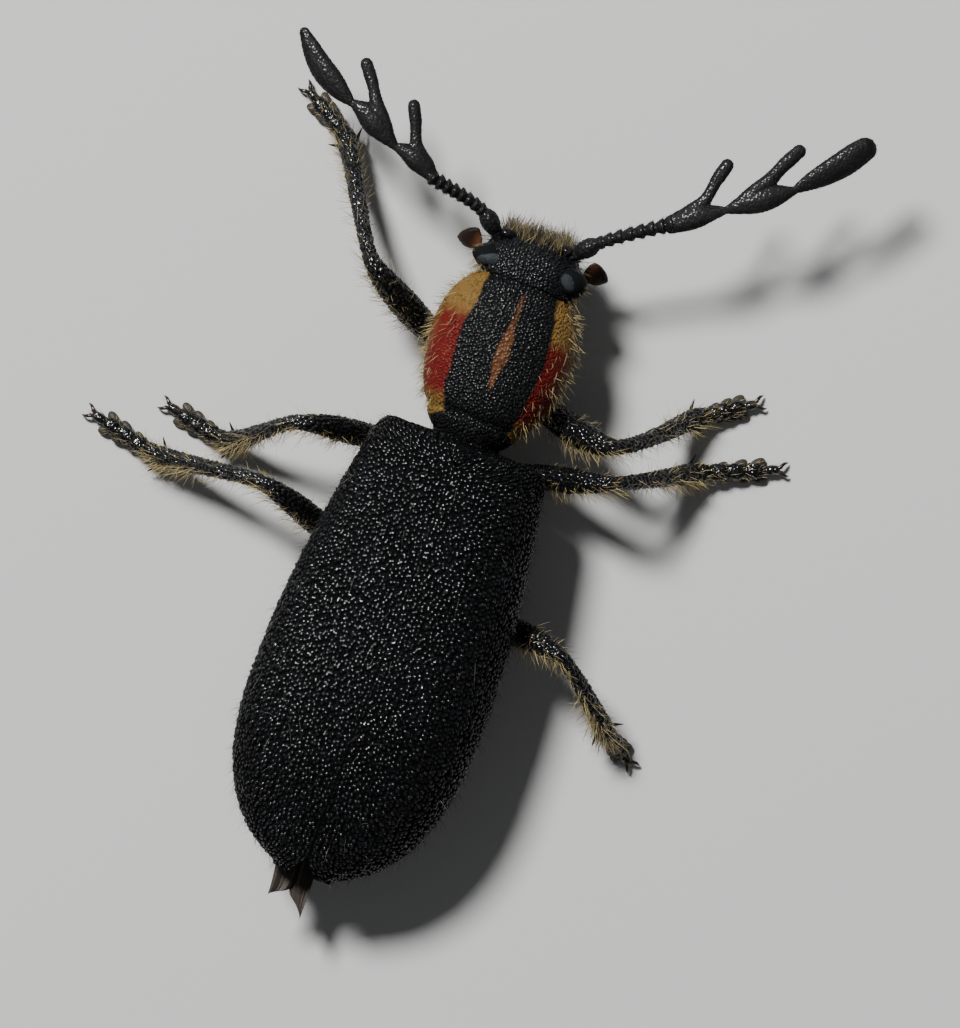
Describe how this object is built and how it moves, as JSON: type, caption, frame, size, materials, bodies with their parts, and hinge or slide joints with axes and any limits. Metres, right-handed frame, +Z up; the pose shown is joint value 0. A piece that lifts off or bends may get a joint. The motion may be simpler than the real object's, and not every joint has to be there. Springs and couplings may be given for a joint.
{
  "type": "pilose checkered beetle",
  "caption": "Life-size still model of a black checkered beetle with an orange-red neck shield striped black, hairy legs and clubbed antennae, standing on its feet.",
  "frame": {"origin": "the floor below the middle of the beetle's bounding box, antennae and legs included", "axes": "+Y along the body towards the head, +Z up from the floor, +X towards the beetle's right side"},
  "size_m": [0.012, 0.0162, 0.0033],
  "materials": {
    "wing_case": "black, densely pitted, satin gloss",
    "neck_shield": "orange-red with a black middle band, pitted, golden hairs at the sides",
    "black_shell": "black, densely pitted, satin gloss",
    "underside": "black, finely pitted, short golden hairs",
    "eye": "dark grey, coarsely faceted",
    "palp": "dark reddish brown",
    "antenna": "black, dull, finely pitted",
    "leg": "black, glossy, with long golden hairs",
    "foot": "black, with pale lobes under each segment",
    "wing_membrane": "smoky grey, thin, slightly see-through"
  },
  "bodies": {
    "root": {"head": "black_shell", "labrum": "black_shell", "eye_left": "eye", "eye_right": "eye", "mandible_left": "black_shell", "mandible_right": "black_shell", "maxillary_palp_left": "palp", "maxillary_palp_right": "palp", "labial_palp_left": "palp", "labial_palp_right": "palp", "antenna_left_scape": "antenna", "antenna_left_funicle": "antenna", "antenna_left_club_1": "antenna", "antenna_left_club_2": "antenna", "antenna_left_club_3": "antenna", "antenna_right_scape": "antenna", "antenna_right_funicle": "antenna", "antenna_right_club_1": "antenna", "antenna_right_club_2": "antenna", "antenna_right_club_3": "antenna", "pronotum": "neck_shield", "pterothorax": "underside", "abdomen": "underside", "scutellum": "wing_case", "elytron_left": "wing_case", "elytron_right": "wing_case", "hindwing_tip_left": "wing_membrane", "hindwing_tip_right": "wing_membrane", "foreleg_left_coxa": "underside", "foreleg_left_femur": "leg", "foreleg_left_tibia": "leg", "foreleg_left_tarsus": "foot", "foreleg_right_coxa": "underside", "foreleg_right_femur": "leg", "foreleg_right_tibia": "leg", "foreleg_right_tarsus": "foot", "midleg_left_coxa": "underside", "midleg_left_femur": "leg", "midleg_left_tibia": "leg", "midleg_left_tarsus": "foot", "midleg_right_coxa": "underside", "midleg_right_femur": "leg", "midleg_right_tibia": "leg", "midleg_right_tarsus": "foot", "hindleg_left_coxa": "underside", "hindleg_left_femur": "leg", "hindleg_left_tibia": "leg", "hindleg_left_tarsus": "foot", "hindleg_right_coxa": "underside", "hindleg_right_femur": "leg", "hindleg_right_tibia": "leg", "hindleg_right_tarsus": "foot"}
  },
  "joints": []
}
